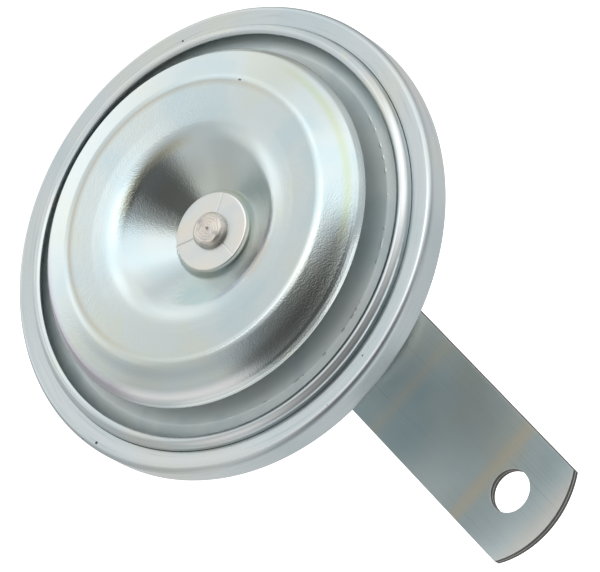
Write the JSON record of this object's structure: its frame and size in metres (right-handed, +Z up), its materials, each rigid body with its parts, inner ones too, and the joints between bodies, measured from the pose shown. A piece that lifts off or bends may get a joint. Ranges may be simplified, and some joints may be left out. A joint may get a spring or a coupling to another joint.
{
  "type": "car horn",
  "caption": "Electromagnetic disc horn: two-step steel case with a sprung tone disc on a diaphragm, hung from a flat two-leaf strap with a bolt hole.",
  "frame": {"origin": "centre of the strap's bolt hole on the strap's rear face", "axes": "-Y is the way the tone disc faces, +Z runs up the strap away from the horn, +X is to the right seen from the front"},
  "size_m": [0.0928, 0.0612, 0.1189],
  "materials": {
    "zinc_plated_steel": "zinc plated, satin",
    "spring_steel": "zinc plated rolled strip",
    "diaphragm_steel": "tempered sheet, satin",
    "machined_steel": "turned",
    "brass": "stamped",
    "copper_wire": "enamelled winding",
    "gasket_fibre": "pressed fibre",
    "phenolic": "moulded, matt",
    "contact_metal": "sintered contact"
  },
  "bodies": {
    "case_body": {"crimp_ring": "zinc_plated_steel", "bead_ring": "zinc_plated_steel", "front_gasket": "gasket_fibre", "diaphragm": "diaphragm_steel", "rear_gasket": "gasket_fibre", "case": "zinc_plated_steel", "magnet_core": "machined_steel", "bobbin": "phenolic", "coil_winding": "copper_wire", "pole_plate": "machined_steel", "contact_spring": "brass", "moving_contact": "contact_metal", "contact_carrier": "zinc_plated_steel", "fixed_contact": "contact_metal", "breaker_insulators": "phenolic", "breaker_rivets": "machined_steel", "adjusting_screw": "machined_steel", "terminal_base": "phenolic", "terminal_left": "brass", "terminal_right": "brass", "terminal_rivets": "brass", "bracket_leaf_front": "spring_steel", "bracket_leaf_rear": "spring_steel", "lock_washer": "zinc_plated_steel", "stud_nut": "zinc_plated_steel"},
    "armature_group": {"armature": "machined_steel", "front_washer": "zinc_plated_steel", "tone_disc": "zinc_plated_steel", "tone_spacer": "machined_steel", "front_support_washer": "zinc_plated_steel", "rear_support_washer": "zinc_plated_steel", "armature_collar": "phenolic"}
  },
  "joints": [
    {"name": "armature_travel", "type": "slide", "parent": "case_body", "child": "armature_group", "axis": [0, 1, 0], "range_m": [-0.0005, 0.0006], "stiffness_N_per_m": 15000, "deforming": ["diaphragm", "contact_spring", "moving_contact"]}
  ]
}
